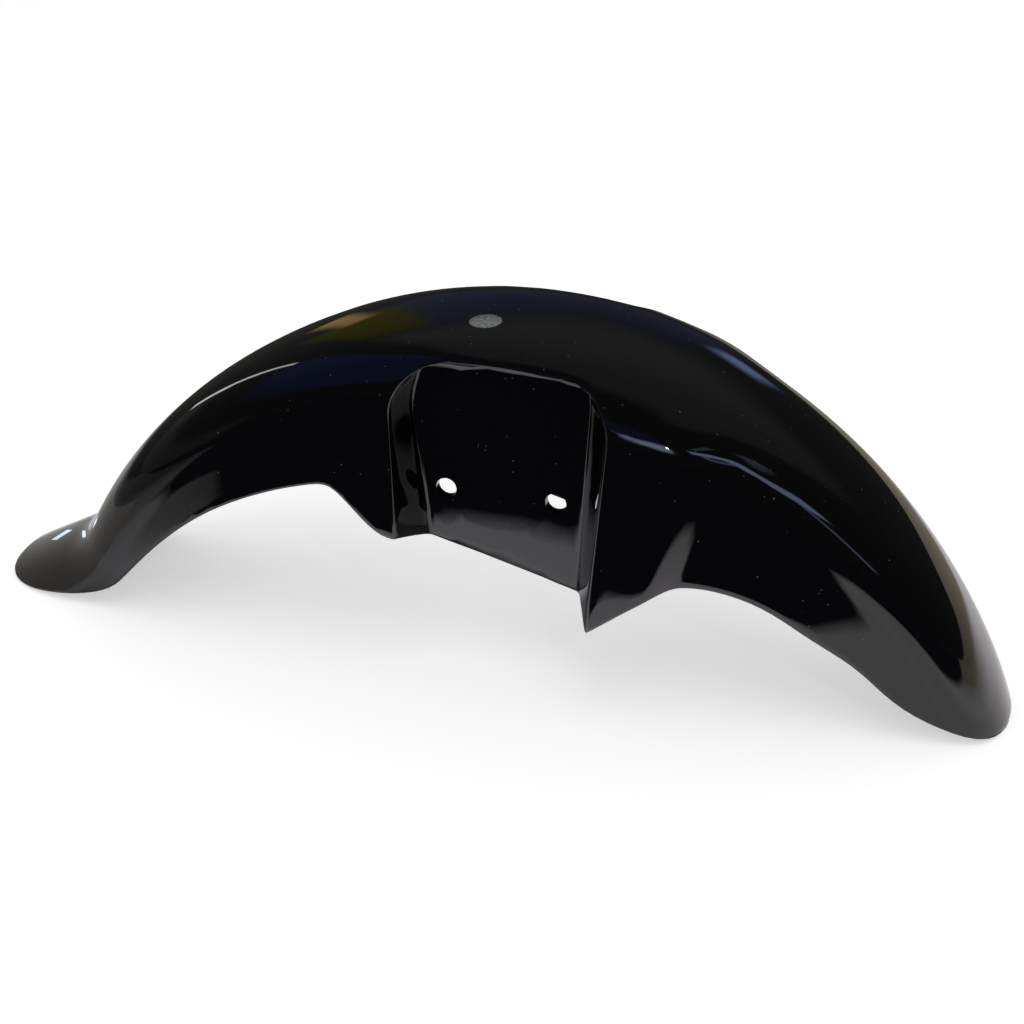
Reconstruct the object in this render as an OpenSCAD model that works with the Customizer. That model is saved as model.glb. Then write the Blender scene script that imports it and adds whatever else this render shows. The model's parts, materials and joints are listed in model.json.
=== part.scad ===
// Front mudguard of a road motorcycle, moulded in one piece.
// Millimetres. X points to the front of the motorcycle, Y to its left, Z up.
// The shell is drawn as it stands off the machine, on the rims of its tail and nose.
// A place on the shell is given by its run, the length along the crown from the top
// of the arc, positive to the front, and by its depth below the crown.

/* [Crown line] */
// Radius of the crown about the wheel axle
crown_r = 338; // [310:1:370]
// Angle from the top of the arc back to the start of the tail flare
tail_angle = 61; // [56:1:64]
// Angle from the top of the arc forward to the tip of the nose
nose_angle = 70.5; // [66:0.5:74]
// Radius of the upward flare of the tail
flare_r = 52; // [40:1:70]
// Angle of the upward flare of the tail
flare_turn = 33; // [25:1:42]
// Length of the tail past the flare
tail_len = 57; // [40:1:70]

/* [Cross-section] */
// Half width at the shoulder of the tail
tail_half_w = 55; // [45:1:62]
// Half width at the shoulder of the rear half
rear_half_w = 64; // [55:1:70]
// Half width at the shoulder over the fork legs
mid_half_w = 72; // [64:1:76]
// Half width at the shoulder of the front half
front_half_w = 62; // [56:1:72]
// Half width at the shoulder of the nose
nose_half_w = 45; // [38:1:54]
// Depth of the rounded shoulder behind the fork legs
rear_shoulder = 38; // [30:1:44]
// Depth of the rounded shoulder ahead of the fork legs
front_shoulder = 32; // [26:1:40]
// Flatness of the crown at the tail and the nose, as a share of the half width
end_flat = 0.69; // [0.6:0.01:0.78]
// Flatness of the crown over the fork legs, as a share of the half width
mid_flat = 0.83; // [0.7:0.01:0.88]
// Outward lean of the rear skirt in degrees
rear_lean = 18; // [5:1:24]
// Outward lean of the skirt over the fork legs in degrees
mid_lean = 5; // [0:1:10]
// Outward lean of the front skirt in degrees
front_lean = 16; // [5:1:24]

/* [Skirt depth] */
// Depth of the edge at the tip of the tail
tail_tip_depth = 12; // [5:1:16]
// Depth of the skirt at the tail flare
tail_depth = 45; // [38:1:50]
// Depth of the skirt halfway along the rear
rear_depth = 63; // [56:1:70]
// Depth of the skirt at the top of the arch behind the fork leg
rear_arch_depth = 73; // [66:1:80]
// Length of the curve from that arch down to the fork recess
rear_ear_len = 62; // [50:1:72]
// Depth at the rear corner of the fork recess
recess_rear_depth = 117; // [105:1:125]
// Depth at the rear lower corner of the bolt panel
panel_rear_depth = 129; // [118:1:135]
// Depth at the front lower corner of the bolt panel
panel_front_depth = 151; // [142:1:154]
// Depth at the tip of the ear ahead of the fork recess
ear_depth = 149; // [145:1:154]
// Depth of the skirt at the arch ahead of the fork leg
front_arch_depth = 89; // [82:1:96]
// Depth of the skirt halfway along the front
front_depth = 72; // [66:1:80]
// Depth of the skirt where the nose begins
nose_depth = 55; // [50:1:62]

/* [Fork recess] */
// Distance between the outer faces of the two bolt panels
panel_gap = 98; // [90:1:104]
// Run of the ridge behind the bolt panel
recess_rear = -56; // [-60:1:-50]
// Run of the ridge ahead of the bolt panel
recess_front = 83; // [78:1:88]
// Width of the wall behind the bolt panel at its top
rear_wall_top = 6; // [4:1:9]
// Width of the wall behind the bolt panel at its foot
rear_wall_foot = 12; // [8:1:15]
// Width of the wall ahead of the bolt panel
front_wall = 18; // [12:1:24]
// Depth of the ridge along the top of the recess, at its rear end
recess_top = 8; // [6:0.5:10]
// Rise of that ridge towards the crown, at its front end
recess_rise = 2.5; // [0:0.5:3]
// Height of the hollow fillet under that ridge
recess_fillet = 10; // [8:1:20]
// Radius of the rear upper corner of the recess in side view
rear_corner = 34; // [20:1:38]
// Radius of the front upper corner of the recess in side view
front_corner = 22; // [18:1:30]
// Radius that rounds the ridges of the recess
ridge_r = 2.2; // [1.5:0.1:2.8]
// Bulge of the skirt ahead of the recess
front_bulge = 10; // [4:1:14]
// Run over which that bulge stays full
bulge_full = 124; // [115:1:130]
// Run at which that bulge has died out
bulge_end = 168; // [155:1:180]

/* [Bolt holes] */
// Diameter of a bolt hole
hole_d = 13; // [8:0.5:16]
// Distance between the two holes of a panel
hole_gap = 69; // [60:1:74]
// Run of the point midway between the holes
hole_run = 8; // [2:1:14]
// Depth of the bolt holes below the crown
hole_depth = 97; // [88:1:105]

/* [Ends and walls] */
// Length over which the tail is rounded in plan
tail_round = 55; // [40:1:70]
// Length over which the nose is rounded in plan
nose_round = 84; // [60:1:100]
// Wall of the shell
wall = 3.5; // [2.5:0.5:4.5]
// Wall of the bolt panels
panel_wall = 5.5; // [4:0.5:7]

/* [Hidden] */

shell_color = [0.02, 0.02, 0.025];

// Runs that divide the crown line, worked out from its angles and radii.
deg = 180 / PI;
tail_start = -crown_r * tail_angle / deg;
flare_run = flare_r * flare_turn / deg;
tail_tip = tail_start - flare_run - tail_len;
nose_tip = crown_r * nose_angle / deg;

// Places of the knots along the crown. The front arch lies just past the bulge.
rear_mid = tail_start * 0.6;
front_mid = nose_tip * 0.55;
nose_start = nose_tip - nose_round;
front_arch = bulge_end + 6;
rear_arch = recess_rear - rear_ear_len;

// How far each curve has gone towards the nose's or the fork legs' value at such a
// place, and how much more the skirt leans out at the nose.
nose_start_share = 0.8;
front_flat_share = 0.3;
nose_lean_gain = 1.5;

// Curves that vary along the crown, as pairs of run and value.
half_w_knots = [
    [tail_tip, tail_half_w],
    [tail_start, tail_half_w],
    [rear_mid, rear_half_w],
    [recess_rear, mid_half_w],
    [recess_front, mid_half_w],
    [front_mid, front_half_w],
    [nose_start, lerp(front_half_w, nose_half_w, nose_start_share)],
    [nose_tip, nose_half_w]
];
shoulder_knots = [
    [tail_start, rear_shoulder],
    [recess_rear, rear_shoulder],
    [front_mid, front_shoulder],
    [nose_tip, front_shoulder]
];
flat_knots = [
    [tail_start, end_flat],
    [rear_mid, end_flat],
    [recess_rear, mid_flat],
    [recess_front, mid_flat],
    [front_mid, lerp(end_flat, mid_flat, front_flat_share)],
    [nose_tip, end_flat]
];
lean_knots = [
    [tail_start, rear_lean],
    [rear_mid, rear_lean],
    [recess_rear, mid_lean],
    [recess_front, mid_lean],
    [front_mid, front_lean],
    [nose_tip, front_lean * nose_lean_gain]
];
rear_edge_knots = [
    [tail_tip, tail_tip_depth],
    [tail_start - flare_run, lerp(tail_tip_depth, tail_depth, 0.5)],
    [tail_start, tail_depth],
    [rear_mid, rear_depth],
    [rear_arch, rear_arch_depth]
];

// Sweep of the edge from the ear up to the front arch, as shares of run and of depth,
// its sag halfway to the nose, and its rise along the nose past the rounding in plan.
ear_sweep = [[0, 0], [0.2, 0.3], [0.45, 0.6], [0.7, 0.825], [1, 1]];
front_sag = [0.5, 0.4];
nose_rise = 6;
front_edge_knots = [
    for (k = ear_sweep)
        [lerp(recess_front, front_arch, k.x), lerp(ear_depth, front_arch_depth, k.y)],
    [front_mid, front_depth],
    [lerp(front_mid, nose_start, front_sag.x), lerp(front_depth, nose_depth, front_sag.y)],
    [nose_start, nose_depth],
    [nose_tip, nose_depth - nose_rise]
];

// Part of a section's heading that is taken off over the fork legs, so that the
// walls of the recess stand nearly upright, and the runs where that holds and ends.
upright = 0.7;
upright_full = 75;
upright_fade = 115;
recess_mid = (recess_rear + recess_front) / 2;

// Exponents of the rounded ends in plan: 2 is an ellipse, more is squarer.
tail_power = 2.6;
nose_power = 2.2;

// Rows of a section at which its parts end: the crown, the top ridge of the recess,
// the fillet under it, the shoulder and the skirt. At the rounded ends of the shell,
// where a section stops short, each part keeps at most its share of what is left.
row_marks = [0, 5, 8, 10, 13, 19];
row_shares = [0, 0.45, 0.6, 0.7, 0.85, 1];
parts = len(row_marks) - 1;
rows = row_marks[parts];
// Depth covered by one unit of the row parameter below the shoulder.
skirt_unit = 60;
// Height of the handle that turns the shoulder upright, as a share of its depth: it is
// less where the crown is flatter.
handle_base = 1.6;
handle_fall = 1.7;

function lerp(a, b, t) = a + (b - a) * t;
function clamp(t) = max(0, min(1, t));
function ease(t) = let (c = clamp(t)) c * c * (3 - 2 * c);
function dir(h) = [sin(h), cos(h)];

// Ramp that is 0 below zero and x above it, rounded over r on either side.
function ramp(x, r) = x < -r ? 0 : x > r ? x : (x + r) * (x + r) / (4 * r);

// Step of height 1 over the width w, with both of its corners rounded by r.
function soft_step(x, w, r) = (ramp(x, r) - ramp(x - w, r)) / w;

function bezier(p0, p1, p2, p3, t) =
    pow(1 - t, 3) * p0 + 3 * pow(1 - t, 2) * t * p1 + 3 * (1 - t) * t * t * p2 + pow(t, 3) * p3;

// Smooth curve through a list of knots, flat beyond its ends.
function knot_slope(k, i) =
    let (lo = max(0, i - 1), hi = min(len(k) - 1, i + 1))
    (k[hi].y - k[lo].y) / (k[hi].x - k[lo].x);
function knot_before(k, x, i = 0) =
    i >= len(k) - 2 || x < k[i + 1].x ? i : knot_before(k, x, i + 1);
function curve(k, x) =
    let (
        xc = max(k[0].x, min(k[len(k) - 1].x, x)),
        i = knot_before(k, xc),
        h = k[i + 1].x - k[i].x,
        t = (xc - k[i].x) / h
    )
    (2 * t * t * t - 3 * t * t + 1) * k[i].y + (t * t * t - 2 * t * t + t) * h * knot_slope(k, i)
    + (3 * t * t - 2 * t * t * t) * k[i + 1].y + (t * t * t - t * t) * h * knot_slope(k, i + 1);

// Heading of the crown line at a run, and its point in X and Z from the axle.
function heading(a) =
    a >= tail_start ? a / crown_r * deg
    : min(flare_turn, (tail_start - a) / flare_r * deg) - tail_angle;
function crown_point(a) =
    a >= tail_start ? crown_r * dir(heading(a))
    : let (h = heading(a), past = max(0, tail_start - flare_run - a))
      (crown_r + flare_r) * dir(-tail_angle) - flare_r * dir(h) - past * [cos(h), -sin(h)];

// Heading of the section plane, which leans less than the crown over the fork legs.
function section_heading(a) =
    heading(a) * (1 - upright * (1 - ease((abs(a - recess_mid) - upright_full) / upright_fade)));

// Depth of the lower edge at a run.
// The foot of the bolt panel is straight, so it hangs deeper where the crown arches.
panel_rear = recess_rear + rear_wall_foot;
panel_front = recess_front - front_wall;
function edge_depth(a) =
    a < rear_arch ? curve(rear_edge_knots, a)
    : a < recess_rear ? lerp(rear_arch_depth, recess_rear_depth, ease((a - rear_arch) / rear_ear_len))
    : a < panel_rear ? lerp(recess_rear_depth, panel_rear_depth, (a - recess_rear) / rear_wall_foot)
    : a < panel_front
      ? lerp(panel_rear_depth, panel_front_depth, (a - panel_rear) / (panel_front - panel_rear))
        + (a - panel_rear) * (panel_front - a) / (2 * crown_r)
    : a < recess_front ? lerp(panel_front_depth, ear_depth, (a - panel_front) / front_wall)
    : curve(front_edge_knots, a);

// Share of the section that is left where the tail and the nose are rounded in plan.
function round_end(t, p) = pow(1 - pow(1 - clamp(t), p), 1 / p);
function end_share(a) =
    min(round_end((a - tail_tip) / tail_round, tail_power),
        round_end((nose_tip - a) / nose_round, nose_power));

// Row parameter of the edge, and of row j of the section at run a.
function edge_row(a) =
    end_share(a) * (1 + (edge_depth(a) - curve(shoulder_knots, a)) / skirt_unit);
function row_at(a, d, low = 0, high = 1, tries = 12) =
    let (mid = (low + high) / 2)
    tries == 0 ? mid
    : plain_section(a, mid, 0).y < d ? row_at(a, d, mid, high, tries - 1)
    : row_at(a, d, low, mid, tries - 1);
function row_stops(a) =
    let (top = top_ridge(a))
    [0, row_at(a, top - ridge_r), row_at(a, top + ridge_r), row_at(a, top + recess_fillet),
     1, edge_row(a)];
function section_rows(a) =
    let (stops = row_stops(a), last = edge_row(a))
    let (table = [for (i = [0 : parts]) [row_marks[i], min(stops[i], row_shares[i] * last)]])
    [for (j = [0 : rows]) lookup(j, table)];

// Plain section: half width and depth at row parameter q, moved in by t.
function plain_section(a, q, t) =
    let (
        w = curve(half_w_knots, a) - t,
        s = curve(shoulder_knots, a),
        flat = curve(flat_knots, a),
        side = [w, lerp(t, s, handle_base - handle_fall * flat)],
        drop = (q - 1) * skirt_unit
    )
    q <= 1 ? bezier([0, t], [flat * w, t], side, [w, s], q)
    : [w + drop * tan(curve(lean_knots, a)), s + drop];

// Bulge ahead of the recess, which fades in over this depth and out to the front.
bulge_drop = 14;
function bulge(a, d) =
    front_bulge * ease(d / bulge_drop)
    * ease((a - recess_rear) / (recess_front - recess_rear))
    * (1 - ease((a - bulge_full) / (bulge_end - bulge_full)));

// The upper ridge of the recess rises to the front, and rounded corners of radius r
// join it to the side ridges.
function top_ridge(a) =
    recess_top - recess_rise * clamp((a - recess_rear) / (recess_front - recess_rear));
function corner_inset(d, top, r) =
    let (left = r * (1 - clamp((d - top) / r)))
    r - sqrt(r * r - left * left);
function rear_inset(d) = corner_inset(d, recess_top, rear_corner);
function front_inset(d) = corner_inset(d, recess_top - recess_rise, front_corner);
// The wall behind the panel widens towards its foot.
function rear_wall(d) =
    lerp(rear_wall_top, rear_wall_foot,
         clamp((d - rear_corner) / (recess_rear_depth - rear_corner)));

// Run of a ring at a depth: the rings follow the ridges, and straighten out past them.
ridge_reach = 55;
function ring_run(a, d) =
    a < recess_rear - ridge_reach || a > recess_front + ridge_reach ? a
    : lookup(a, [
        [recess_rear - ridge_reach, recess_rear - ridge_reach],
        [recess_rear, recess_rear + rear_inset(d)],
        [panel_rear, recess_rear + rear_inset(d) + rear_wall(d)],
        [recess_mid, recess_mid],
        [panel_front, panel_front - front_inset(d)],
        [recess_front, recess_front - front_inset(d)],
        [recess_front + ridge_reach, recess_front + ridge_reach]
    ]);

// How far a place lies inside the recess: 0 outside its ridges, 1 on the panel.
// Under its top ridge the recess falls back over a hollow fillet. t widens the recess.
function recess_share(a, d, t) =
    let (short = 1 - clamp(ramp(d + t - top_ridge(a), ridge_r) / recess_fillet))
    (1 - short * short)
    * min(soft_step(a + t - recess_rear - rear_inset(d), rear_wall(d), ridge_r),
          soft_step(recess_front - front_inset(d) + t - a, front_wall, ridge_r));

// Half width and depth with the bulge and the recess. The skin moves in by t.
function section(a, q, t) =
    let (
        p = plain_section(a, q, t),
        y = p.x + bulge(a, p.y),
        panel_y = panel_gap / 2 - (t > 0 ? panel_wall : 0)
    )
    [y - recess_share(a, p.y, t) * max(0, y - panel_y), p.y];

// Point of a skin in space. The side is 1 for the left and -1 for the right.
function skin_point(ring, q, t, side) =
    let (
        a = ring_run(ring, plain_section(ring, q, 0).y),
        s = section(a, q, t),
        c = crown_point(a) - s.y * dir(section_heading(a))
    )
    [c.x, side * s.x, c.y];

// Lip between the two skins, rounded outward by a part of the wall.
lip_step = 0.04;
lip_out = 0.3;
function lip_point(a, side) =
    let (
        q = edge_row(a),
        outer = skin_point(a, q, 0, side),
        inner = skin_point(a, q, wall, side),
        above = skin_point(a, q * (1 - lip_step), 0, side),
        down = (outer - above) / norm(outer - above)
    )
    (outer + inner) / 2 + down * wall * lip_out;

// Closed loop of points round the shell at one run: outer skin from left to right,
// right lip, inner skin from right to left, left lip.
function ring(a) =
    let (q = section_rows(a))
    concat(
        [for (j = [-rows : rows]) skin_point(a, q[abs(j)], 0, j < 0 ? 1 : -1)],
        [lip_point(a, -1)],
        [for (j = [rows : -1 : -rows]) skin_point(a, q[abs(j)], wall, j < 0 ? 1 : -1)],
        [lip_point(a, 1)]
    );

// Runs of the rings: close at the rounded ends, and four round each edge of the recess.
end_steps = [0.08, 0.22, 0.36, 0.5, 0.64, 0.78, 0.92];
ridge_steps = [-1, -0.35, 0.35, 1];
function end_run(s, p) = 1 - pow(1 - pow(sin(90 * s), p), 1 / p);
function spread(from, to, n) = [for (i = [1 : n - 1]) lerp(from, to, i / n)];
function around(a) = [for (s = ridge_steps) a + s * ridge_r];
tail_full = tail_tip + tail_round;
runs = concat(
    [for (s = end_steps) tail_tip + tail_round * end_run(s, tail_power)],
    [tail_full],
    spread(tail_full, tail_start, 5),
    [tail_start],
    spread(tail_start, rear_arch, 10),
    [rear_arch],
    spread(rear_arch, recess_rear, 6),
    around(recess_rear),
    around(panel_rear),
    spread(panel_rear, panel_front, 4),
    around(panel_front),
    spread(panel_front, recess_front, 2),
    around(recess_front),
    spread(recess_front, front_arch, 8),
    [front_arch],
    spread(front_arch, nose_start, 9),
    [nose_start],
    [for (i = [len(end_steps) - 1 : -1 : 0])
        nose_tip - nose_round * end_run(end_steps[i], nose_power)]
);

rings = [for (a = runs) ring(a)];
loop = len(rings[0]);
across = 2 * rows + 1;

// The shell stands with the middle of its length at X 0 and its lowest rim at Z 0.
all_x = [for (r = rings) for (p = r) p.x];
all_z = [for (r = rings) for (p = r) p.z];
origin = [(min(all_x) + max(all_x)) / 2, 0, min(all_z)];

// Faces: a band between each two rings, and a strip that closes either end.
function quad(a, b, c, d, flip) = flip ? [[a, b, d], [b, c, d]] : [[a, b, c], [a, c, d]];
function band(i) = [
    for (k = [0 : loop - 1])
        let (n = (k + 1) % loop, left = k < rows || k > across + rows)
        each quad(i * loop + n, i * loop + k, (i + 1) * loop + k, (i + 1) * loop + n, left)
];
function cap(i, flip) = let (b = i * loop) concat(
    [for (k = [0 : across - 2])
        let (in_k = b + 2 * across - k, in_n = in_k - 1)
        each flip ? [[b + k, in_n, b + k + 1], [b + k, in_k, in_n]]
                  : [[b + k, b + k + 1, in_n], [b + k, in_n, in_k]]],
    flip ? [[b + across - 1, b + across + 1, b + across], [b, b + loop - 1, b + 2 * across]]
         : [[b + across - 1, b + across, b + across + 1], [b, b + 2 * across, b + loop - 1]]
);

module shell() {
    polyhedron(
        points = [for (r = rings) for (p = r) p - origin],
        faces = concat(
            [for (i = [0 : len(rings) - 2]) each band(i)],
            cap(0, false),
            cap(len(rings) - 1, true)
        )
    );
}

// Bolt holes run straight through both panels, level with the ground.
hole_mid = crown_point(hole_run) - hole_depth * dir(section_heading(hole_run));
module bolt_holes() {
    for (x = [-hole_gap / 2, hole_gap / 2])
        translate([hole_mid.x + x - origin.x, 0, hole_mid.y - origin.z])
            rotate([90, 0, 0])
                cylinder(h = panel_gap + 20, d = hole_d, center = true, $fn = 48);
}

module mudguard() {
    color(shell_color)
        difference() {
            shell();
            bolt_holes();
        }
}

mudguard();
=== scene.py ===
# Front mudguard of a road motorcycle: a glossy black moulding that stands on its own rims.
# Metres. +X points to the front of the motorcycle, +Y to its left, +Z up.
import json
import math

import bmesh
import bpy
from mathutils import Matrix, Vector
from mathutils.bvhtree import BVHTree


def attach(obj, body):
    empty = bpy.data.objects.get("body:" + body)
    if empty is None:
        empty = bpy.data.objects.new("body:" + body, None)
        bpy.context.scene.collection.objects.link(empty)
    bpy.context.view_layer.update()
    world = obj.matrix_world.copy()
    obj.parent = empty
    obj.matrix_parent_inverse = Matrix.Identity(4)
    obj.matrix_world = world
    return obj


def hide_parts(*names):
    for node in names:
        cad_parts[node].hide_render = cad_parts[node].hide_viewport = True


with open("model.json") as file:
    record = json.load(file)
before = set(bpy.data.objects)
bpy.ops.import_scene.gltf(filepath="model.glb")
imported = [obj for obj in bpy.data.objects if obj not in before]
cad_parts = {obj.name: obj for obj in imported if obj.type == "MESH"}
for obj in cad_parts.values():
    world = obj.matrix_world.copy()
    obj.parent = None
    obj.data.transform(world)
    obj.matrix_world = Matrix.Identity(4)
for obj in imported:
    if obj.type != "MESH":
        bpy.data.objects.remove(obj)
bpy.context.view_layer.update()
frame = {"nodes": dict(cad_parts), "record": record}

scene = bpy.context.scene
scene.view_settings.view_transform = "Standard"


# View of the photograph: the camera stands ahead of the right side and looks down on it.
# It aims close to the middle of the near bolt panel.
PHOTO_PX = 1024
FOCAL_PX = 1687.6
SENSOR_MM = 36.0
CAMERA_PLACE = Vector((0.3112, -0.8923, 0.6149))
CAMERA_AIM = Vector((0.0394, -0.0514, 0.1207))
CAMERA_ROLL = math.radians(-0.63)

camera_data = bpy.data.cameras.new("photo_camera")
camera_data.sensor_width = SENSOR_MM
camera_data.lens = SENSOR_MM * FOCAL_PX / PHOTO_PX
camera = bpy.data.objects.new("photo_camera", camera_data)
look = (CAMERA_AIM - CAMERA_PLACE).to_track_quat("-Z", "Y").to_matrix().to_4x4()
camera.matrix_world = Matrix.Translation(CAMERA_PLACE) @ look @ Matrix.Rotation(CAMERA_ROLL, 4, "Z")
scene.collection.objects.link(camera)
scene.camera = camera


# Mudguard: one injection moulding in black plastic with a high gloss. The outside is polished
# by the mould, and the inside, which only the wheel sees, keeps a satin skin.
# It is the CAD shell, merged into quads and rounded by a subdivision surface.
OUTER_SLOT, INNER_SLOT = 0, 1
MERGE_DIST = 0.00002
QUAD_ANGLE = math.radians(40)
SHAPE_ANGLE = math.radians(179)
SKIN_PROBE = 0.001
SMOOTH_LEVELS = 1
# Bolt holes: how sharp their rims are, how far off a point on them may be as a share of the
# radius, and the rounding of the rims.
HOLE_EDGE_ANGLE = math.radians(60)
HOLE_TOLERANCE = 0.05
HOLE_CREASE = 1.0
RIM_RADIUS = 0.0004
RIM_SEGMENTS = 2

# Crown, and the recess below its lip. A depth is measured from the crown towards the wheel axle.
CROWN_R = 0.338
AXLE_X, AXLE_Z = 0.0242, -0.1114
RECESS_REAR, RECESS_FRONT = -0.031, 0.108
LIP_Y, LIP_FADE = 0.062, 0.008
LIP_DEPTH, BEND_FOOT, BEND_END = 0.0090, 0.0175, 0.031
CORNER_DEPTH = 0.0120

node = frame["nodes"]["mudguard"]
panels = [mount for mount in frame["record"]["mounts"] if mount["kind"] == "bolt_pattern"]
hole_r = panels[0]["dims"]["hole_r_mm"] / 1000
hole_step = panels[0]["dims"]["spacing_x_mm"] / 2000
hole_places = [
    (panel["pos_m"][0] + side * hole_step, panel["pos_m"][2]) for panel in panels for side in (-1, 1)
]


def is_on_hole(vert):
    """True for a point on the wall or the rim of a bolt hole."""
    return any(
        abs(math.hypot(vert.co.x - x, vert.co.z - z) - hole_r) < hole_r * HOLE_TOLERANCE
        for x, z in hole_places
    )


def is_inner_skin(face, tree):
    """True for a face that has the shell between it and the open air at its own side."""
    centre = face.calc_center_median()
    outward = Vector((0, math.copysign(1, centre.y), 0))
    return tree.ray_cast(centre + face.normal * SKIN_PROBE, outward)[0] is not None


def tighten_recess_tops(bm):
    """Squares the fillet between each bolt panel and the lip of the crown over it, so that it is
    less in view below the lip."""
    for vert in bm.verts:
        x, y, z = vert.co
        inner = any(face.material_index == INNER_SLOT for face in vert.link_faces)
        in_recess = RECESS_REAR < x < RECESS_FRONT and abs(y) < LIP_Y
        depth = CROWN_R - math.hypot(x - AXLE_X, z - AXLE_Z)
        if inner or not in_recess or not LIP_DEPTH < depth < BEND_END:
            continue
        if depth < BEND_FOOT:
            stretch = (CORNER_DEPTH - LIP_DEPTH) / (BEND_FOOT - LIP_DEPTH)
            target = LIP_DEPTH + (depth - LIP_DEPTH) * stretch
        else:
            stretch = (BEND_END - CORNER_DEPTH) / (BEND_END - BEND_FOOT)
            target = BEND_END - (BEND_END - depth) * stretch
        share = min(1, (LIP_Y - abs(y)) / LIP_FADE)
        outwards = Vector((x - AXLE_X, 0, z - AXLE_Z)).normalized()
        vert.co += outwards * (depth - target) * share


def mudguard_mesh(source):
    """The CAD shell as quads, with sharp bolt holes and the inner skin on its own slot."""
    bm = bmesh.new()
    bm.from_mesh(source)
    bmesh.ops.remove_doubles(bm, verts=bm.verts, dist=MERGE_DIST)
    bmesh.ops.join_triangles(
        bm, faces=bm.faces, angle_face_threshold=QUAD_ANGLE, angle_shape_threshold=SHAPE_ANGLE
    )
    crease = bm.edges.layers.float.new("crease_edge")
    for edge in bm.edges:
        on_rim = all(is_on_hole(vert) for vert in edge.verts) and edge.calc_face_angle(0) > HOLE_EDGE_ANGLE
        edge[crease] = HOLE_CREASE if on_rim else 0.0
        edge.smooth = not on_rim
    tree = BVHTree.FromBMesh(bm)
    for face in bm.faces:
        face.material_index = INNER_SLOT if is_inner_skin(face, tree) else OUTER_SLOT
        face.smooth = True
    tighten_recess_tops(bm)
    mesh = bpy.data.meshes.new("mudguard_shell")
    bm.to_mesh(mesh)
    bm.free()
    return mesh


def set_inputs(tree, shader_node, inputs):
    """Gives each named or numbered input a value, or a link where it gets a socket."""
    for key, source in inputs.items():
        if isinstance(source, bpy.types.NodeSocket):
            tree.links.new(source, shader_node.inputs[key])
        else:
            shader_node.inputs[key].default_value = source


def add_node(tree, kind, inputs=None, **settings):
    """Adds a node with its settings and its inputs."""
    shader_node = tree.nodes.new(kind)
    for name, setting in settings.items():
        setattr(shader_node, name, setting)
    set_inputs(tree, shader_node, inputs or {})
    return shader_node


def add_math(tree, operation, *sources):
    """Adds a math node and gives its output socket."""
    return add_node(tree, "ShaderNodeMath", dict(enumerate(sources)), operation=operation).outputs["Value"]


def add_range(tree, source, old, new=(0, 1), **settings):
    """Adds a node that maps one range of numbers to another and gives its output socket."""
    inputs = {"Value": source, "From Min": old[0], "From Max": old[1], "To Min": new[0], "To Max": new[1]}
    return add_node(tree, "ShaderNodeMapRange", inputs, **settings).outputs["Result"]


def add_colour_mix(tree, factor, under, over):
    """Adds a node that lays one colour over another and gives its output socket."""
    mix = add_node(tree, "ShaderNodeMix", data_type="RGBA")
    set_inputs(tree, mix, {"Factor": factor, "A": under, "B": over})
    return mix.outputs["Result"]


def new_material(name):
    """A material with nodes, its node tree, and the Object coordinates in it."""
    material = bpy.data.materials.new(name)
    material.use_nodes = True
    tree = material.node_tree
    return material, tree, add_node(tree, "ShaderNodeTexCoord").outputs["Object"]


def mask_group(name, inputs):
    """Empty shader node group that puts out a mask, and the sockets of its named inputs."""
    group = bpy.data.node_groups.new(name, "ShaderNodeTree")
    for socket, kind in inputs.items():
        group.interface.new_socket(socket, in_out="INPUT", socket_type=kind)
    group.interface.new_socket("Mask", in_out="OUTPUT", socket_type="NodeSocketFloat")
    return group, add_node(group, "NodeGroupInput").outputs


def dust_specks_group():
    """Mask of dust: a round speck of its own size in some of the cells of a fine pattern."""
    group, given = mask_group(
        "dust_specks",
        {
            "Vector": "NodeSocketVector",
            "Cells per Metre": "NodeSocketFloat",
            "Share": "NodeSocketFloat",
            "Size": "NodeSocketFloat",
        },
    )
    cells = add_node(
        group, "ShaderNodeTexVoronoi", {"Vector": given["Vector"], "Scale": given["Cells per Metre"]}
    )
    draw = add_node(group, "ShaderNodeSeparateColor", {"Color": cells.outputs["Color"]})
    dusty = add_math(group, "LESS_THAN", draw.outputs["Red"], given["Share"])
    radius = add_math(group, "MULTIPLY", draw.outputs["Green"], given["Size"])
    inside = add_math(group, "LESS_THAN", cells.outputs["Distance"], radius)
    add_node(group, "NodeGroupOutput", {"Mask": add_math(group, "MULTIPLY", dusty, inside)})
    return group


DUST_CELLS = 230.0
dust_specks = dust_specks_group()


def add_dust(material, share, size, dust_colour):
    """Lays dust over what a material's Base Color has, and gives the mask of the specks."""
    tree = material.node_tree
    base = tree.nodes["Principled BSDF"].inputs["Base Color"]
    place = add_node(tree, "ShaderNodeTexCoord").outputs["Object"]
    dust = add_node(tree, "ShaderNodeGroup", node_tree=dust_specks)
    set_inputs(tree, dust, {"Vector": place, "Cells per Metre": DUST_CELLS, "Share": share, "Size": size})
    under = base.links[0].from_socket if base.is_linked else base.default_value
    tree.links.new(add_colour_mix(tree, dust.outputs["Mask"], under, (*dust_colour, 1)), base)
    return dust.outputs["Mask"]


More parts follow.
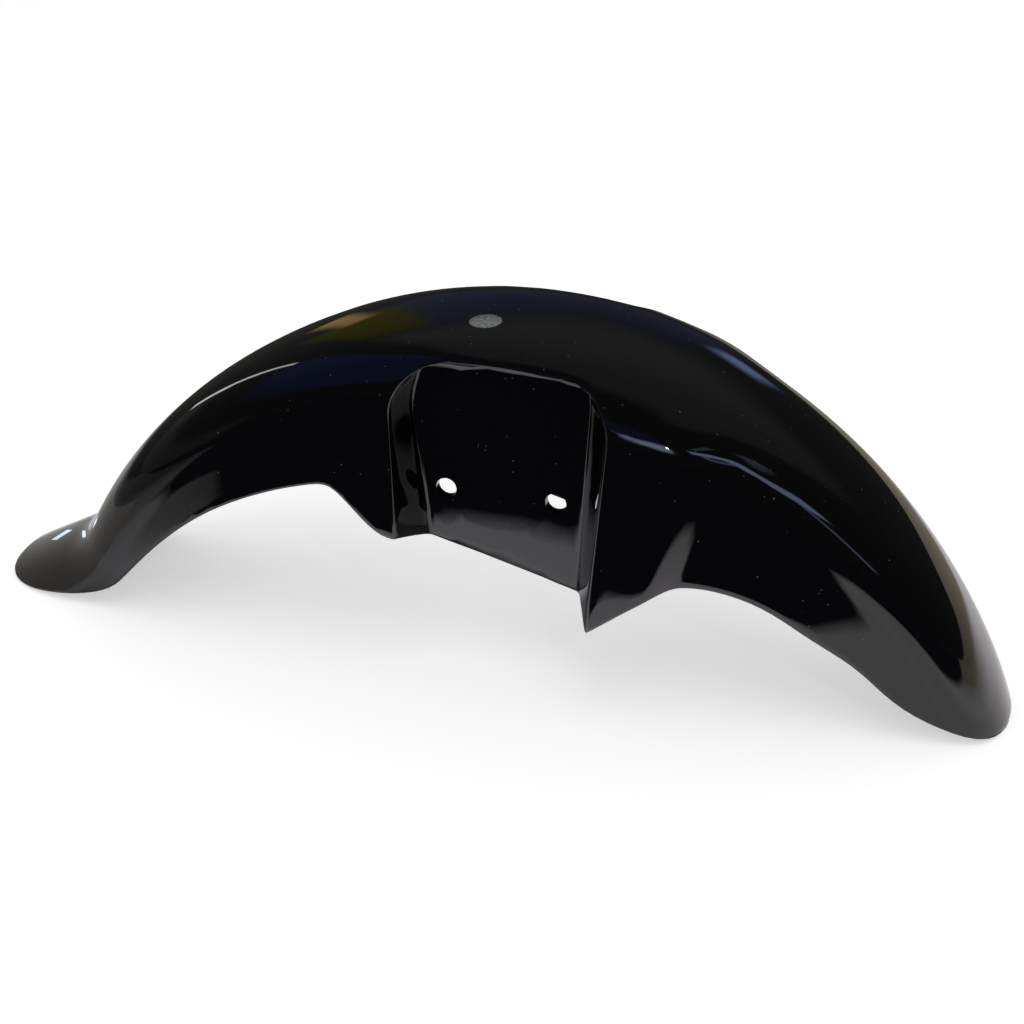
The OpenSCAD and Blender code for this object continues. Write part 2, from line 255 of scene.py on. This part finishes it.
def gloss_black():
    """Polished black plastic: faint waviness of the moulding, haze from handling, and dust."""
    material, tree, place = new_material("gloss_black")
    shader = tree.nodes["Principled BSDF"]
    waves = add_node(tree, "ShaderNodeTexNoise", {"Vector": place, "Scale": 18, "Detail": 1})
    wave_bump = add_node(
        tree, "ShaderNodeBump", {"Height": waves.outputs["Fac"], "Strength": 1, "Distance": 0.00005}
    )
    haze = add_node(
        tree, "ShaderNodeTexNoise", {"Vector": place, "Scale": 9, "Detail": 6, "Roughness": 0.62}
    )
    hazy = add_range(tree, haze.outputs["Fac"], (0.35, 0.75), (0.02, 0.06))
    set_inputs(
        tree,
        shader,
        {"Base Color": (0.0014, 0.0014, 0.0016, 1), "IOR": 1.53, "Normal": wave_bump.outputs["Normal"]},
    )
    dust = add_dust(material, 0.30, 0.11, (0.10, 0.10, 0.10))
    rough = add_node(tree, "ShaderNodeMix", {"Factor": dust, "A": hazy, "B": 0.6})
    set_inputs(tree, shader, {"Roughness": rough.outputs["Result"]})
    return material


def inner_satin():
    """Satin skin of the inside: the fine grain of an unpolished mould, with road dust in it."""
    material, tree, place = new_material("inner_satin")
    grain = add_node(tree, "ShaderNodeTexNoise", {"Vector": place, "Scale": 900, "Detail": 2})
    grain_bump = add_node(
        tree, "ShaderNodeBump", {"Height": grain.outputs["Fac"], "Strength": 0.6, "Distance": 0.00006}
    )
    patches = add_node(tree, "ShaderNodeTexNoise", {"Vector": place, "Scale": 14, "Detail": 5})
    patchy = patches.outputs["Fac"]
    set_inputs(
        tree,
        tree.nodes["Principled BSDF"],
        {
            "Base Color": add_colour_mix(tree, patchy, (0.006, 0.006, 0.007, 1), (0.014, 0.014, 0.014, 1)),
            "Roughness": add_range(tree, patchy, (0.3, 0.7), (0.34, 0.52)),
            "Normal": grain_bump.outputs["Normal"],
        },
    )
    add_dust(material, 0.45, 0.14, (0.06, 0.055, 0.05))
    return material


shell = bpy.data.objects.new("mudguard_shell", mudguard_mesh(node.data))
shell.data.materials.append(gloss_black())
shell.data.materials.append(inner_satin())
scene.collection.objects.link(shell)
rounding = shell.modifiers.new("rounding", "SUBSURF")
rounding.levels = rounding.render_levels = SMOOTH_LEVELS
rims = shell.modifiers.new("hole_rims", "BEVEL")
rims.limit_method = "ANGLE"
rims.angle_limit = HOLE_EDGE_ANGLE
rims.width = RIM_RADIUS
rims.segments = RIM_SEGMENTS
rims.harden_normals = True
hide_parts("mudguard")
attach(shell, "root")


# Sticker: a round of dull silver foil, about 20 mm across, pressed on the crown over the bolt
# panels. It is laid on the evaluated shell point by point, and any print on it is left out.
STICKER_X, STICKER_Y = 0.0124, -0.0146
STICKER_R = 0.0098
STICKER_SIDES = 48
STICKER_RINGS = 5
STICKER_THICK = 0.00015
STICKER_GAP = 0.00002


def sticker_foil():
    """Dull foil: blotched, creased, a little worn, with the dust of the shell on it."""
    material, tree, place = new_material("sticker_foil")
    blotches = add_node(
        tree, "ShaderNodeTexNoise", {"Vector": place, "Scale": 420, "Detail": 4, "Roughness": 0.7}
    )
    tone = add_node(tree, "ShaderNodeValToRGB", {"Fac": blotches.outputs["Fac"]})
    dull, bright = tone.color_ramp.elements
    dull.position, dull.color = 0.36, (0.14, 0.15, 0.155, 1)
    bright.position, bright.color = 0.62, (0.36, 0.38, 0.38, 1)
    creases = add_node(
        tree, "ShaderNodeTexVoronoi", {"Vector": place, "Scale": 300}, feature="DISTANCE_TO_EDGE"
    )
    crease_bump = add_node(
        tree, "ShaderNodeBump", {"Height": creases.outputs["Distance"], "Strength": 0.8, "Distance": 0.0002}
    )
    set_inputs(
        tree,
        tree.nodes["Principled BSDF"],
        {
            "Base Color": tone.outputs["Color"],
            "Roughness": add_range(tree, blotches.outputs["Fac"], (0, 1), (0.3, 0.65)),
            "Normal": crease_bump.outputs["Normal"],
            "Metallic": 0.3,
        },
    )
    add_dust(material, 0.2, 0.1, (0.6, 0.6, 0.58))
    return material


sticker_bm = bmesh.new()
bmesh.ops.create_circle(sticker_bm, cap_ends=True, radius=STICKER_R, segments=STICKER_SIDES)
for ring in range(STICKER_RINGS):
    # The middle is the only face with more than four corners.
    bmesh.ops.inset_region(
        sticker_bm,
        faces=[face for face in sticker_bm.faces if len(face.verts) > 4],
        thickness=STICKER_R / (STICKER_RINGS + 1),
        use_even_offset=True,
    )
bmesh.ops.translate(sticker_bm, verts=sticker_bm.verts, vec=(STICKER_X, STICKER_Y, CROWN_R))
shell_now = shell.evaluated_get(bpy.context.evaluated_depsgraph_get())
skin_tree = BVHTree.FromPolygons(
    [vert.co for vert in shell_now.data.vertices], [face.vertices for face in shell_now.data.polygons]
)
for vert in sticker_bm.verts:
    skin_point, skin_normal = skin_tree.ray_cast(vert.co, Vector((0, 0, -1)))[:2]
    vert.co = skin_point + skin_normal * STICKER_GAP
for face in sticker_bm.faces:
    face.smooth = True
bmesh.ops.recalc_face_normals(sticker_bm, faces=sticker_bm.faces)
if sum(face.normal.z for face in sticker_bm.faces) < 0:
    bmesh.ops.reverse_faces(sticker_bm, faces=sticker_bm.faces)
sticker_mesh = bpy.data.meshes.new("crown_sticker")
sticker_bm.to_mesh(sticker_mesh)
sticker_bm.free()
sticker = bpy.data.objects.new("crown_sticker", sticker_mesh)
sticker.data.materials.append(sticker_foil())
scene.collection.objects.link(sticker)
foil = sticker.modifiers.new("foil_thickness", "SOLIDIFY")
foil.thickness = STICKER_THICK
foil.offset = 1
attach(sticker, "root")


# Floor: plain and pale, and white to the camera apart from the part's shadow. The gloss sees a
# glowing pale sheet on a dark floor instead, with a painted shadow of the part on it. The sheet
# ends 0.2 to 0.3 m in front of the part's centre plane, and further out behind the tail, so the
# near skirts mirror the dark floor beyond its edge.
FLOOR_SIZE = 16.0
FLOOR_COLOUR = (0.8, 0.8, 0.8, 1)
FLOOR_LIFT = 0.52
ROOM_FLOOR = (0.025, 0.025, 0.035, 1)
SHEET_SPAN = 1.0
# Front edge of the sheet: place along X, and how far it reaches in front of the centre plane.
SHEET_EDGE = [
    (-0.90, 0.70),
    (-0.40, 0.225),
    (0.02, 0.225),
    (0.05, 0.34),
    (0.12, 0.34),
    (0.20, 0.30),
    (0.31, 0.26),
    (0.34, 0.25),
    (0.37, 0.23),
    (0.45, 0.18),
    (0.90, 0.17),
]
SHEET_SOFT = 0.020
# Brightness of the sheet in the gloss: place along X, and colour.
SHEET_GLOW = [
    (-1.0, (0.12, 0.12, 0.12)),
    (-0.70, (0.26, 0.26, 0.27)),
    (-0.42, (0.42, 0.42, 0.43)),
    (-0.33, (0.80, 0.78, 0.82)),
    (-0.10, (1.35, 1.30, 1.40)),
    (0.27, (1.35, 1.28, 1.35)),
    (0.32, (1.02, 0.98, 1.02)),
    (0.36, (1.02, 0.98, 1.00)),
    (0.45, (1.30, 1.26, 1.30)),
    (0.90, (0.62, 0.55, 0.44)),
]
# Far edge of the sheet, as places along X and Y, and the ground beyond it: dark, then beige.
FAR_EDGE = [
    (-0.90, 0.30),
    (-0.25, 0.30),
    (-0.18, 0.75),
    (0.10, 0.85),
    (0.30, 0.60),
    (0.50, 0.34),
    (0.90, 0.30),
]
FAR_SOFT = 0.06
FAR_GROUND = [
    (-0.20, (0.04, 0.04, 0.035)),
    (0.10, (0.30, 0.28, 0.22)),
    (0.35, (0.48, 0.42, 0.33)),
]
# The part's painted shadow on the glowing sheet in the gloss: half its length, half its width, and how much
# stays.
SHADE_X, SHADE_Y, SHADE_SOFT = 0.28, 0.07, 0.03
SHADE_LEFT = 0.08


def ramp_over_x(tree, x_socket, stops):
    """Colour ramp with stops at places along X, in metres; gives its output socket."""
    share = add_range(tree, x_socket, (-SHEET_SPAN, SHEET_SPAN))
    ramp = add_node(tree, "ShaderNodeValToRGB", {"Fac": share})
    elements = ramp.color_ramp.elements
    stops_at_first = len(elements)
    for number, (x, colour) in enumerate(stops):
        at = (x + SHEET_SPAN) / (2 * SHEET_SPAN)
        stop = elements[number] if number < stops_at_first else elements.new(at)
        stop.position = at
        stop.color = (*colour, 1)
    return ramp.outputs["Color"]


def reach_over_x(tree, x_socket, edge):
    """Distance of an edge of the sheet from the centre plane, over X."""
    return ramp_over_x(tree, x_socket, [(x, (reach, reach, reach)) for x, reach in edge])


def past_edge(tree, distance, soft):
    """0 before an edge and 1 past it, with a soft step."""
    return add_range(tree, distance, (-soft, soft))


def painted_part_shadow(tree, axes):
    """Painted shadow of the part on the glowing sheet: how much of the sheet's light stays, all of it clear
    of the part, and little under it.
    """
    stays = [
        add_range(
            tree,
            add_math(tree, "ABSOLUTE", axes[axis]),
            (half - SHADE_SOFT, half + SHADE_SOFT),
            (SHADE_LEFT, 1),
        )
        for axis, half in (("X", SHADE_X), ("Y", SHADE_Y))
    ]
    return add_math(tree, "MAXIMUM", *stays)


def pale_floor_material():
    """White to the camera with the part's shadow, and in the gloss the glowing pale sheet with its edges
    and a painted shadow under the part.
    """
    material = bpy.data.materials.new("pale_floor")
    material.use_nodes = True
    tree = material.node_tree
    tree.nodes.clear()
    rays = add_node(tree, "ShaderNodeLightPath").outputs
    lit = add_node(tree, "ShaderNodeBsdfDiffuse", {"Color": FLOOR_COLOUR}).outputs["BSDF"]
    lift = add_node(tree, "ShaderNodeEmission", {"Color": (1, 1, 1, 1), "Strength": FLOOR_LIFT})
    lifted = add_node(tree, "ShaderNodeAddShader", {0: lit, 1: lift.outputs["Emission"]})
    seen = add_node(
        tree, "ShaderNodeMixShader", {"Fac": rays["Is Camera Ray"], 1: lit, 2: lifted.outputs["Shader"]}
    )

    place = add_node(tree, "ShaderNodeTexCoord").outputs["Object"]
    axes = add_node(tree, "ShaderNodeSeparateXYZ", {"Vector": place}).outputs
    before = add_math(tree, "ADD", axes["Y"], reach_over_x(tree, axes["X"], SHEET_EDGE))
    beyond = add_math(tree, "SUBTRACT", axes["Y"], reach_over_x(tree, axes["X"], FAR_EDGE))
    ground = add_colour_mix(
        tree,
        past_edge(tree, beyond, FAR_SOFT),
        ramp_over_x(tree, axes["X"], SHEET_GLOW),
        ramp_over_x(tree, axes["X"], FAR_GROUND),
    )
    # Painted shadow: the sheet's glow that the gloss sees is darkened under the part.
    shaded = add_node(
        tree, "ShaderNodeVectorMath", {"Vector": ground, "Scale": painted_part_shadow(tree, axes)}, operation="SCALE"
    )
    glow = add_colour_mix(tree, past_edge(tree, before, SHEET_SOFT), ROOM_FLOOR, shaded.outputs["Vector"])
    mirrored = add_node(tree, "ShaderNodeEmission", {"Color": glow})
    surface = add_node(
        tree,
        "ShaderNodeMixShader",
        {"Fac": rays["Is Glossy Ray"], 1: seen.outputs["Shader"], 2: mirrored.outputs["Emission"]},
    )
    add_node(tree, "ShaderNodeOutputMaterial", {"Surface": surface.outputs["Shader"]})
    return material


floor_bm = bmesh.new()
bmesh.ops.create_grid(floor_bm, x_segments=1, y_segments=1, size=FLOOR_SIZE / 2)
floor_mesh = bpy.data.meshes.new("pale_floor")
floor_bm.to_mesh(floor_mesh)
floor_bm.free()
floor = bpy.data.objects.new("pale_floor", floor_mesh)
floor.data.materials.append(pale_floor_material())
scene.collection.objects.link(floor)


# Surroundings: white to the camera, and an even fill light on everything. The gloss mirrors a
# dark room instead, with soft patches of sky, a window, leaves and thin strips of light.
FILL_STRENGTH = 0.55
ROOM_COLOUR = (0.034, 0.034, 0.036, 1)
# Each patch: azimuth from +Y towards +X, elevation, half its width, half its height, the rise of
# its middle line per degree of azimuth, the softness of its edge, all in degrees, and colour.
SKY_PATCHES = [
    ("pale_ceiling", 5, 42, 42, 18, 0.0, 5, (0.095, 0.098, 0.094)),
    ("rear_sky", -121, 40, 69, 17, 0.0, 5, (0.05, 0.062, 0.19)),
    ("front_sky", 172, 40, 22, 17, 0.0, 5, (0.05, 0.062, 0.19)),
    ("left_haze", -88, 1, 35, 6, 0.0, 3, (0.085, 0.083, 0.09)),
    ("far_sky", -13, 13, 17, 9, 0.0, 4, (0.05, 0.055, 0.10)),
    ("far_window", 8.0, 13, 3.2, 2.8, 0.0, 2, (0.38, 0.52, 0.98)),
    ("leaves", -33, 14, 5, 8, 0.0, 2, (0.09, 0.085, 0.015)),
    ("warm_strip", -32, 3, 1.5, 5, 0.0, 1, (0.50, 0.34, 0.13)),
    ("white_strip", -53, 11, 0.8, 10, 0.0, 0.4, (2.6, 2.6, 2.6)),
    ("shoulder_sky_rear", 97, 47, 12, 1.6, -0.05, 1.5, (0.35, 0.42, 0.65)),
    ("shoulder_sky_front", 113, 36.5, 10, 4.0, 0.27, 1.5, (1.3, 1.6, 2.5)),
    ("shoulder_line", 114.5, 22, 1.8, 12, 0.0, 1.2, (0.75, 0.8, 1.2)),
    ("sun_glow", 163, 27, 11, 6.0, -0.5, 4, (1.9, 2.2, 3.2)),
]


def sky_patch_group():
    """Mask of one soft-edged patch of sky, from azimuth and elevation."""
    names = (
        "Azimuth",
        "Elevation",
        "Middle Azimuth",
        "Middle Elevation",
        "Half Width",
        "Half Height",
        "Rise",
        "Softness",
    )
    group, given = mask_group("sky_patch", dict.fromkeys(names, "NodeSocketFloat"))

    def inside(offset, half):
        """1 within half of the middle, falling to 0 over the softness."""
        over = add_math(group, "SUBTRACT", add_math(group, "ABSOLUTE", offset), half)
        share = add_math(group, "DIVIDE", over, given["Softness"])
        return add_range(group, share, (-1, 1), (1, 0), interpolation_type="SMOOTHSTEP")

    across = add_math(group, "SUBTRACT", given["Azimuth"], given["Middle Azimuth"])
    above = add_math(group, "SUBTRACT", given["Elevation"], given["Middle Elevation"])
    upright = add_math(group, "SUBTRACT", above, add_math(group, "MULTIPLY", across, given["Rise"]))
    mask = add_math(
        group, "MULTIPLY", inside(across, given["Half Width"]), inside(upright, given["Half Height"])
    )
    add_node(group, "NodeGroupOutput", {"Mask": mask})
    return group


world = bpy.data.worlds.new("studio")
world.use_nodes = True
scene.world = world
sky_tree = world.node_tree
sky_tree.nodes.clear()
sky_rays = add_node(sky_tree, "ShaderNodeLightPath").outputs
fill = add_node(sky_tree, "ShaderNodeBackground", {"Color": (1, 1, 1, 1), "Strength": FILL_STRENGTH})
backdrop = add_node(sky_tree, "ShaderNodeBackground", {"Color": (1, 1, 1, 1)})
sky_place = add_node(sky_tree, "ShaderNodeTexCoord").outputs["Generated"]
sky_axes = add_node(sky_tree, "ShaderNodeSeparateXYZ", {"Vector": sky_place}).outputs
sky_azimuth = add_math(sky_tree, "DEGREES", add_math(sky_tree, "ARCTAN2", sky_axes["X"], sky_axes["Y"]))
sky_elevation = add_math(sky_tree, "DEGREES", add_math(sky_tree, "ARCSINE", sky_axes["Z"]))
sky_patch = sky_patch_group()
sky_colour = ROOM_COLOUR
for name, azimuth, elevation, half_width, half_height, rise, softness, colour in SKY_PATCHES:
    patch = add_node(sky_tree, "ShaderNodeGroup", node_tree=sky_patch, label=name)
    set_inputs(
        sky_tree,
        patch,
        {
            "Azimuth": sky_azimuth,
            "Elevation": sky_elevation,
            "Middle Azimuth": azimuth,
            "Middle Elevation": elevation,
            "Half Width": half_width,
            "Half Height": half_height,
            "Rise": rise,
            "Softness": softness,
        },
    )
    sky_colour = add_colour_mix(sky_tree, patch.outputs["Mask"], sky_colour, (*colour, 1))
dark_room = add_node(sky_tree, "ShaderNodeBackground", {"Color": sky_colour})
plain_sky = add_node(
    sky_tree,
    "ShaderNodeMixShader",
    {"Fac": sky_rays["Is Camera Ray"], 1: fill.outputs["Background"], 2: backdrop.outputs["Background"]},
)
whole_sky = add_node(
    sky_tree,
    "ShaderNodeMixShader",
    {"Fac": sky_rays["Is Glossy Ray"], 1: plain_sky.outputs["Shader"], 2: dark_room.outputs["Background"]},
)
add_node(sky_tree, "ShaderNodeOutputWorld", {"Surface": whole_sky.outputs["Shader"]})


# Lamps: a wide soft light overhead, which the gloss doesn't show, a small bright one for the
# spark of the sun on the near shoulder, and a slip of light that glints on top of the tail.
PART_MIDDLE = Vector((0, 0, 0.12))
TAIL_TOP = Vector((-0.308, -0.008, 0.022))
GLINT_COLOUR = (0.8, 1.0, 1.2)


def direction(azimuth, elevation):
    """Unit vector at an azimuth, from +Y towards +X, and an elevation, in degrees."""
    a, e = math.radians(azimuth), math.radians(elevation)
    return Vector((math.sin(a) * math.cos(e), math.cos(a) * math.cos(e), math.sin(e)))


def softbox(name, target, towards, distance, width, height, radiance, colour=(1, 1, 1)):
    """Area light that faces a target from a direction. Radiance is its face's own."""
    data = bpy.data.lights.new(name, "AREA")
    data.shape = "RECTANGLE"
    data.size = width
    data.size_y = height
    data.color = colour
    data.energy = radiance * math.pi * width * height
    lamp = bpy.data.objects.new(name, data)
    turn = towards.to_track_quat("Z", "Y").to_matrix().to_4x4()
    lamp.matrix_world = Matrix.Translation(target + towards * distance) @ turn
    lamp.visible_camera = False
    scene.collection.objects.link(lamp)
    return lamp


overhead = softbox(
    "overhead", PART_MIDDLE, direction(150, 62), distance=2.4, width=1.4, height=1.4, radiance=1.6
)
overhead.visible_glossy = False
softbox(
    "sun_spark", PART_MIDDLE, direction(150.3, 34.6), distance=2.2, width=0.06, height=0.06, radiance=150
)
tail_glint = softbox(
    "tail_glint",
    TAIL_TOP,
    direction(-46, -3.5),
    distance=0.06,
    width=0.016,
    height=0.006,
    radiance=2.4,
    colour=GLINT_COLOUR,
)
tail_glint.visible_diffuse = False


# Card behind the tail: an upright panel that glows by its own emission, is no lamp, and only the
# gloss sees. Its glow gives the top of the tail its even grey reflection, and keeps the white strip of
# light out of it.
CARD_MIDDLE = (-0.362, 0.0, 0.031)
CARD_HEIGHT, CARD_WIDTH = 0.062, 0.24
CARD_GLOW = (0.45, 0.43, 0.40, 1)

card_bm = bmesh.new()
bmesh.ops.create_grid(
    card_bm,
    x_segments=1,
    y_segments=1,
    size=0.5,
    matrix=Matrix.Translation(CARD_MIDDLE)
    @ Matrix.Rotation(math.radians(90), 4, "Y")
    @ Matrix.Diagonal((CARD_HEIGHT, CARD_WIDTH, 1, 1)),
)
card_mesh = bpy.data.meshes.new("tail_card")
card_bm.to_mesh(card_mesh)
card_bm.free()
card_material = bpy.data.materials.new("tail_card")
card_material.use_nodes = True
# Glowing panel: its emission stands in for the light that the top of the tail mirrors.
set_inputs(
    card_material.node_tree,
    card_material.node_tree.nodes["Principled BSDF"],
    {"Base Color": (0, 0, 0, 1), "Emission Color": CARD_GLOW, "Emission Strength": 1},
)
tail_card = bpy.data.objects.new("tail_card", card_mesh)
tail_card.data.materials.append(card_material)
tail_card.visible_camera = False
tail_card.visible_diffuse = False
tail_card.visible_shadow = False
scene.collection.objects.link(tail_card)
